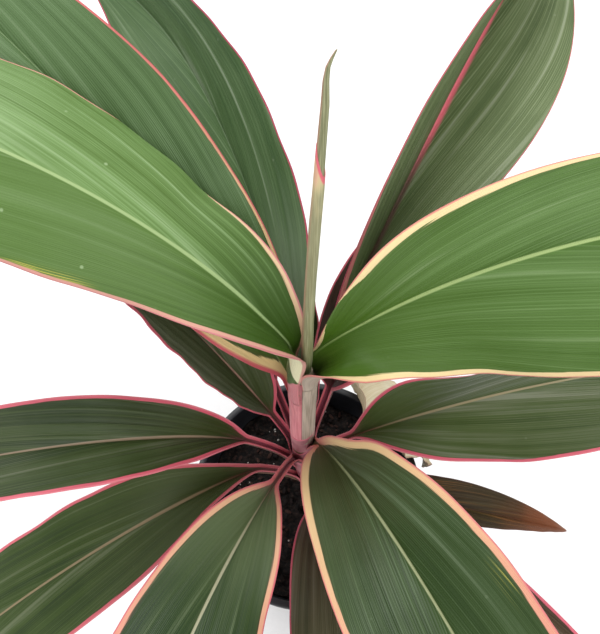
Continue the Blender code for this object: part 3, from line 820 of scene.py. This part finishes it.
def facing(turn, middle, half_width, soft=4.0):
    """1 where the turn is within half_width degrees of the middle direction, else 0."""
    return 1 - smooth((away_from(turn, middle) - half_width) / soft + 0.5)


STEM_FOOT, STEM_TOP = 84.0, 333.0
CORE_RADIUS = 4.9
SCAR, SCAR_WAVES = 0.22, 0.55
WRAP = 0.45  # thickness of the leaf bases round the stem
# Lower sheaths: foot, rim height, rim slope and its direction, radius at foot and rim
SHEATHS = ((124, 158, 7, 282, 5.6, 5.75), (150, 186, 8, 120, 5.5, 5.7),
           (178, 210, 6, 200, 5.45, 5.65), (202, 238, 7, 40, 5.4, 5.6),
           (238, 259, 3, 330, 6.0, 6.5))
CORE_END, SHEATHS_END = 0.5, len(SHEATHS) + 0.5  # in the order of the stem's parts
# The bases of the two upper leaves: pink on the left, beige on the right
TOP_FOOT, TOP_GIRTH = 252.0, 6.35
PINK_SIDE, PINK_HALF = 185.0, 82.0
BEIGE_END, PINK_END = 327.0, 309.0  # where the upper leaves' bases leave the stem


def stem_core():
    heights = np.concatenate([[STEM_FOOT], np.linspace(STEM_FOOT + 0.5, STEM_TOP - 0.5, 260),
                              [STEM_TOP]])
    turn = all_round(ROUND)
    radii = []
    for z in heights:
        scar = SCAR * abs(math.sin(z * SCAR_WAVES)) ** 6
        lumps = 0.12 * np.sin(3 * turn + z * 0.2) + 0.08 * np.sin(7 * turn - z * 0.11)
        end = min(1.0, (z - STEM_FOOT + 2) / 3, (STEM_TOP - z + 3) / 12)
        radii.append((CORE_RADIUS + scar + lumps) * (0.75 + 0.25 * end))
    return rod(stem_centre, heights, radii)


def lower_sheath(low, high, slope, toward, foot, rim):
    toward = math.radians(toward)

    def rim_height(turn):
        return high + slope * np.cos(turn - toward)

    def girth(turn, share):
        return (foot + (rim - foot) * share
                + 0.12 * np.sin(2 * turn + toward) + 0.05 * np.sin(9 * turn))
    return sleeve(stem_centre, low, rim_height, girth, WRAP)


def top_sheath():
    def rim_height(turn):
        return STEM_TOP - 5.0 - 5.0 * facing(turn, 30, 75, 40)

    def girth(turn, share):
        z = TOP_FOOT + (rim_height(turn) - TOP_FOOT) * share
        pink = facing(turn, PINK_SIDE, PINK_HALF)
        end = BEIGE_END + (PINK_END - BEIGE_END) * pink
        swell = 0.35 * smooth((z - end + 12) / 9) - 1.45 * smooth((z - end) / 5)
        return TOP_GIRTH - 0.05 * pink + swell + 0.04 * np.sin(9 * turn)
    return sleeve(stem_centre, TOP_FOOT, rim_height, girth, WRAP, rings=80)


def stem_finish():
    s = Shader("stem_sheaths", 0.35)
    rim, part, side = s.value("drop"), s.value("layer"), s.value("strip")
    grain = s.noise(s.stretched(1.0, 1.0, 0.03), 1500.0, 2.0)
    patch = s.noise(s.place(), 90.0, 3.0)
    grained = s.step(grain, 0.32, 0.68)
    height = s.node("SeparateXYZ", [s.place()], "Z")
    wood = s.mix(grain, rgb(110, 84, 64), rgb(160, 136, 106))
    wood = s.fade(wood, rgb(178, 160, 142), height, 0.3, 0.31)
    beige = s.mix(grained, rgb(158, 144, 128), rgb(196, 180, 164))
    mauve = s.fade(rgb(158, 94, 106), rgb(190, 130, 134), patch, 0.35, 0.65)
    colour = s.fade(wood, mauve, part, CORE_END - 0.1, CORE_END + 0.1)
    lower = s.step(part, SHEATHS_END + 0.1, SHEATHS_END - 0.1)
    colour = s.fade(colour, rgb(214, 120, 134), rim, 2.0, 0.6, lower)
    pink = s.mix(grained, rgb(206, 118, 128), rgb(228, 150, 154))
    wrapped = s.fade(beige, pink, side, 0.3, 0.7)
    crease = s.times(s.step(side, 0.15, 0.5), s.step(side, 0.85, 0.5))
    wrapped = s.mix(s.times(crease, 0.8), wrapped, rgb(120, 58, 66))
    colour = s.fade(colour, wrapped, part, SHEATHS_END - 0.1, SHEATHS_END + 0.1)
    s.bump(grain, 0.0004, 0.4)
    return s.done(colour, s.ranged(patch, 0.42, 0.2))


def build_stem():
    parts = [stem_core(), *(lower_sheath(*sheath) for sheath in SHEATHS), top_sheath()]
    points, faces, turn, drop, layer = join_parts(parts)
    strip = np.clip((PINK_HALF - away_from(turn, PINK_SIDE)) / 5.0 + 0.5, 0, 1)
    make_piece("stem", points, faces, stem_finish(),
               {"drop": drop, "layer": layer, "strip": strip},
               node="stem")


# The rolled leaf: height, how far to the right its middle lies, and radius
SPEAR = [(333.5, -2.8, 2.5), (347, -2.2, 2.35), (375, -2.1, 2.05), (403, -1.6, 1.85),
         (434, -0.75, 1.75), (447, -0.25, 1.6), (458, 0.0, 1.45), (468, 0.3, 1.3),
         (476, 0.55, 1.15), (482.5, 0.5, 0.85), (486, 0.8, 0.6), (488.5, 1.6, 0.4),
         (490.3, 2.4, 0.2)]
SEAM_START, SEAM_TWIST = 250, 1.6  # degrees, and degrees per mm
ROLL_LOSS = 0.14  # of the radius, over one turn of the roll
SHEATH_TOP, SHEATH_SLOPE = 458.2, 5.5


def spear_finish():
    s = Shader("rolled_leaf")
    rim = s.value("drop")
    grain = s.noise(s.stretched(1.0, 1.0, 0.02), 2600.0, 2.0)
    patch = s.noise(s.stretched(1.0, 1.0, 0.15), 260.0, 2.0)
    green = s.fade(rgb(104, 106, 68), rgb(152, 154, 116), grain, 0.3, 0.7)
    colour = s.mix(s.times(s.value("shade"), 0.85), green, rgb(178, 124, 108))
    cream = s.fade(rgb(226, 206, 150), rgb(226, 168, 140), patch, 0.42, 0.58)
    colour = s.fade(colour, cream, rim, 24.0, 5.0, s.step(patch, 0.3, 0.55))
    colour = s.fade(colour, rgb(206, 196, 160), rim, 130.0, 10.0, 0.26)
    colour = s.fade(colour, rgb(222, 104, 118), rim, 3.4, 2.0)
    s.bump(grain, 0.0003, 0.4)
    return s.done(colour, s.ranged(grain, 0.34, 0.2))


def build_spear():
    heights, _, sizes = zip(*SPEAR)
    axis = axis_through(SPEAR)

    def rim_height(turn):
        return SHEATH_TOP - SHEATH_SLOPE * np.cos(turn + 0.3)

    def girth(turn, share):
        z = heights[0] + (rim_height(turn) - heights[0]) * share
        return np.interp(z, heights, sizes) * (1.0 + 0.03 * np.sin(2 * turn))

    levels = np.linspace(heights[0] + 0.2, heights[-1] - 0.1, 150)
    radii = []
    for z in levels:
        seam = math.radians(SEAM_START + (z - STEM_TOP) * SEAM_TWIST)
        roll = ((all_round(ROUND) - seam) % FULL_TURN) / FULL_TURN
        radii.append(np.interp(z, heights, sizes) * (0.93 - ROLL_LOSS * roll))
    parts = [rod(axis, levels, radii),
             sleeve(axis, heights[0], rim_height, girth, 0.22, rings=90)]
    points, faces, turn, drop, _ = join_parts(parts)
    make_piece("new_leaf_spear", points, faces, spear_finish(),
               {"drop": drop, "shade": facing(turn, 185, 35, 40)},
               node="new_leaf_spear")


build_stem()
build_spear()


# Pot and soil

RIM_RADIUS = 76.0
POT_HEIGHT = 140.0
BASE_RADIUS = 55.0
WALL = 1.2
LIP_WIDTH = 4.6
SKIRT_DROP = 13.0
FLOOR = 1.8
DRAIN_HOLES = 6
DRAIN_RADIUS = 4.5
DRAIN_CIRCLE = 40.0
POT_STEPS = 160
NO_RADIUS = 0.01  # at the middle of the base
MOULDED_RINGS = ((18, 20.5), (108, 110.5))
RING_HEIGHT = 0.35
SOIL_TOP = 120.0
SOIL_RIPPLE = 1.6
SOIL_DISH = 2.5
SOIL_STEPS, SOIL_RINGS = 220, 90
CRUMB_WAVES, CRUMB_HEIGHT = 26, 0.045  # and height as a share of a wave's length
BITS = 620
PERLITE_SHARE = 0.12
STEM_AT, STEM_CLEARANCE = 3.5, 8


def wall_radius(height):
    top = RIM_RADIUS - LIP_WIDTH + WALL
    return BASE_RADIUS + (top - BASE_RADIUS) * height / POT_HEIGHT


def pot_profile():
    """(radius, height) of the pot: up outside, round the rim and its skirt, and down inside."""
    rim, top, skirt = RIM_RADIUS, POT_HEIGHT, POT_HEIGHT - SKIRT_DROP
    profile = [(NO_RADIUS, 0.0), (BASE_RADIUS - 1.5, 0.0), (BASE_RADIUS - 0.45, 0.45),
               (BASE_RADIUS, 1.5)]
    for z in np.linspace(4, top - 16, 40):
        on_ring = any(low < z < high for low, high in MOULDED_RINGS)
        profile.append((wall_radius(z) + (RING_HEIGHT if on_ring else 0.0), z))
    profile += [(wall_radius(top - 1.6), top - 1.6), (rim - WALL - 0.2, top - 1.7),
                (rim - WALL - 0.6, skirt + 0.3), (rim - WALL - 0.3, skirt),
                (rim - 0.8, skirt), (rim - 0.5, skirt + 0.4), (rim, top - 0.8),
                (rim - 0.25, top - 0.2), (rim - 0.8, top), (rim - LIP_WIDTH + 0.6, top),
                (rim - LIP_WIDTH + 0.1, top - 0.25), (rim - LIP_WIDTH, top - 0.8)]
    for z in np.linspace(top - 4, 6, 30):
        profile.append((wall_radius(z) - WALL, z))
    return profile + [(BASE_RADIUS - WALL, FLOOR + 1.5), (BASE_RADIUS - WALL - 1.5, FLOOR),
                      (NO_RADIUS, FLOOR)]


def pot_finish():
    s = Shader("pot_plastic")
    cloud = s.noise(s.place(), 40.0, 4.0)
    pits = s.noise(s.place(), 1400.0, 2.0)
    rings = s.noise(s.stretched(0.04, 0.04, 1.0), 260.0, 2.0)
    colour = s.fade(rgb(20, 22, 26), rgb(36, 39, 45), cloud, 0.35, 0.7)
    dust = s.times(s.step(cloud, 0.52, 0.72), s.step(pits, 0.45, 0.65))
    colour = s.mix(s.times(dust, 0.25), colour, rgb(110, 104, 98))
    s.bump(s.plus(s.times(pits, 0.5), s.times(rings, 0.8)), 0.0004, 0.4)
    return s.done(colour, s.ranged(cloud, 0.3, 0.25))


def cut_drain_holes(pot):
    """Cuts the holes through the pot's base, for good."""
    cutters = []
    for i in range(DRAIN_HOLES):
        turn = FULL_TURN * (i + 0.5) / DRAIN_HOLES
        bpy.ops.mesh.primitive_cylinder_add(
            vertices=32, radius=DRAIN_RADIUS * MM, depth=0.02,
            location=(DRAIN_CIRCLE * math.cos(turn) * MM, DRAIN_CIRCLE * math.sin(turn) * MM, 0))
        cutters.append(bpy.context.object)
        hole = pot.modifiers.new("drain", "BOOLEAN")
        hole.object = cutters[-1]
    depsgraph = bpy.context.evaluated_depsgraph_get()
    cut = bpy.data.meshes.new_from_object(pot.evaluated_get(depsgraph))
    pot.modifiers.clear()
    pot.data = cut
    for cutter in cutters:
        bpy.data.objects.remove(cutter)


def build_pot():
    profile = pot_profile()
    points = np.concatenate([ring(r, all_round(POT_STEPS), z) for r, z in profile])
    pot = make_piece("nursery_pot", points, tube_faces(len(profile), POT_STEPS), pot_finish(),
                     node="nursery_pot")
    cut_drain_holes(pot)


def soil_height(radius, turn):
    lumps = np.sin(0.17 * radius * np.cos(turn) + 1.3) * np.cos(0.23 * radius * np.sin(turn))
    lumps = lumps + 0.6 * np.sin(0.41 * radius * np.sin(turn + 0.7) + 2.1)
    return SOIL_TOP + SOIL_RIPPLE * lumps - SOIL_DISH * (radius / RIM_RADIUS) ** 2


def crumbs(x, y):
    """Fine lumps, in mm, made of many small waves of random direction."""
    draw = np.random.default_rng(7)
    total = 0.0
    for _ in range(CRUMB_WAVES):
        angle, length = draw.uniform(0, FULL_TURN), draw.uniform(2.5, 11.0)
        wave = np.sin(FULL_TURN * (x * np.cos(angle) + y * np.sin(angle)) / length
                      + draw.uniform(0, 6.3))
        total = total + wave * length * CRUMB_HEIGHT
    return total


def soil_finish():
    s = Shader("potting_soil", 0.25)
    grains = s.noise(s.place(), 420.0, 5.0)
    patch = s.noise(s.place(), 60.0, 3.0)
    colour = s.fade(rgb(8, 6, 6), rgb(32, 24, 21), grains, 0.4, 0.62)
    colour = s.fade(colour, rgb(66, 53, 45), grains, 0.6, 0.72, patch)
    s.bump(grains, 0.002, 0.8)
    return s.done(colour, s.ranged(grains, 0.75, 0.2))


def build_soil(limit):
    """A solid that fills the pot and has crumbs on top, out to the limit."""
    turn = all_round(SOIL_STEPS)
    blocks = []
    for z, inset in ((FLOOR + 0.3, 1.8), (FLOOR + 4, 0.3), (70, 0.3), (100, 0.3)):
        blocks.append(ring(wall_radius(z) - WALL - inset, turn, z))
    for i in range(SOIL_RINGS):
        r = limit * (1 - i / SOIL_RINGS)
        lumps = crumbs(r * np.cos(turn), r * np.sin(turn)) * min(1.0, 0.35 + i / 6)
        blocks.append(ring(r, turn, soil_height(r, turn) + lumps))
    make_piece("potting_soil", np.concatenate(blocks), tube_faces(len(blocks), SOIL_STEPS),
               soil_finish(), node="potting_soil")


def bits_finish():
    s = Shader("soil_bits", 0.3)
    kind = s.value("kind")
    grain = s.noise(s.place(), 700.0, 3.0)
    bark = s.fade(rgb(24, 15, 14), rgb(60, 38, 31), kind, 0.1, 0.8)
    bark = s.fade(bark, rgb(14, 11, 10), grain, 0.45, 0.65, 0.6)
    perlite = s.mix(grain, rgb(150, 146, 140), rgb(206, 202, 196))
    colour = s.fade(bark, perlite, kind, 0.85, 0.95)
    s.bump(grain, 0.001, 0.6)
    return s.done(colour, s.ranged(grain, 0.7, 0.2))


def build_bits(limit):
    """Bark chips and a few perlite grains that lie on the soil."""
    points, faces, kinds = [], [], []
    cube = np.array([(x, y, z) for x in (-1, 1) for y in (-1, 1) for z in (-1, 1)], float)
    quads = [(0, 1, 3, 2), (4, 6, 7, 5), (0, 4, 5, 1), (2, 3, 7, 6), (0, 2, 6, 4), (1, 5, 7, 3)]
    for _ in range(BITS):
        r = (limit - 4) * math.sqrt(rng.uniform(0.01, 1))
        angle = rng.uniform(0, FULL_TURN)
        x, y = r * math.cos(angle), r * math.sin(angle)
        if math.hypot(x - STEM_AT, y) < STEM_CLEARANCE:
            continue
        perlite = rng.uniform() < PERLITE_SHARE
        size = rng.uniform(0.6, 1.3) if perlite else rng.uniform(0.7, 2.6)
        shape = np.array([1, 1, 1]) if perlite else np.array([1.5, 0.8, 0.4])
        corners = cube * size * shape * rng.uniform(0.55, 1.1, cube.shape)
        tilt = rng.uniform(-0.5, 0.5, 2)
        yaw = rng.uniform(0, FULL_TURN)
        cos, sin = math.cos(yaw), math.sin(yaw)
        spun = corners @ np.array([[cos, sin, 0], [-sin, cos, 0], [0, 0, 1]])
        spun[:, 2] += spun[:, 0] * tilt[0] + spun[:, 1] * tilt[1]
        ground = float(soil_height(r, angle) + crumbs(x, y))
        start = len(points)
        points += list(spun + np.array([x, y, ground + 0.2 * size]))
        faces += [tuple(corner + start for corner in quad) for quad in quads]
        kinds += [1.0 if perlite else rng.uniform(0, 0.8)] * len(cube)
    bits = make_piece("soil_bits", np.array(points), faces, bits_finish(), {"kind": kinds})
    round_off = bits.modifiers.new("round", "SUBSURF")
    round_off.levels = round_off.render_levels = 1


soil_limit = wall_radius(SOIL_TOP - SOIL_DISH) - WALL - 0.4
build_pot()
build_soil(soil_limit)
build_bits(soil_limit)

# Floor, light and camera

FRAME_HEIGHT = 634  # pixels
FOCAL_LENGTH = 650  # pixels, as the pot's rim and the leaves suggest
SENSOR = 36.0  # mm, for the taller side of the picture
CAMERA_PLACE = (-0.005, -0.10939, 0.57873)
CAMERA_TILT = 28.66  # degrees from straight down
PLANT_MIDDLE = (0, 0, 0.2)


def area_light(name, place, size, power):
    lamp = bpy.data.lights.new(name, "AREA")
    lamp.shape = "DISK"
    lamp.size = size
    lamp.energy = power
    thing = bpy.data.objects.new(name, lamp)
    thing.location = place
    aim = Vector(PLANT_MIDDLE) - Vector(place)
    thing.rotation_euler = aim.to_track_quat("-Z", "Y").to_euler()
    bpy.context.scene.collection.objects.link(thing)


bpy.ops.mesh.primitive_plane_add(size=8)
floor = bpy.context.object
floor.name = "floor"
paper = Shader("floor_paper", 0.1)
tooth = paper.noise(paper.place(), 300.0, 3.0)
paper_white = paper.mix(tooth, rgb(246, 246, 246), rgb(252, 252, 252))
floor.data.materials.append(paper.done(paper_white, 0.9))

world = bpy.data.worlds.new("studio")
world.use_nodes = True
sky = world.node_tree.nodes["Background"].inputs
sky["Color"].default_value = (1.0, 1.0, 1.0, 1.0)
sky["Strength"].default_value = 0.8
bpy.context.scene.world = world
area_light("key", (-0.9, 1.5, 2.9), 1.8, 56)
area_light("fill", (0.5, -1.9, 2.4), 1.8, 34)

lens = bpy.data.cameras.new("camera")
lens.sensor_width = SENSOR
lens.lens = SENSOR * FOCAL_LENGTH / FRAME_HEIGHT
camera = bpy.data.objects.new("camera", lens)
camera.location = CAMERA_PLACE
camera.rotation_euler = (math.radians(CAMERA_TILT), 0, 0)
bpy.context.scene.collection.objects.link(camera)
bpy.context.scene.camera = camera
bpy.context.scene.view_settings.view_transform = "Standard"
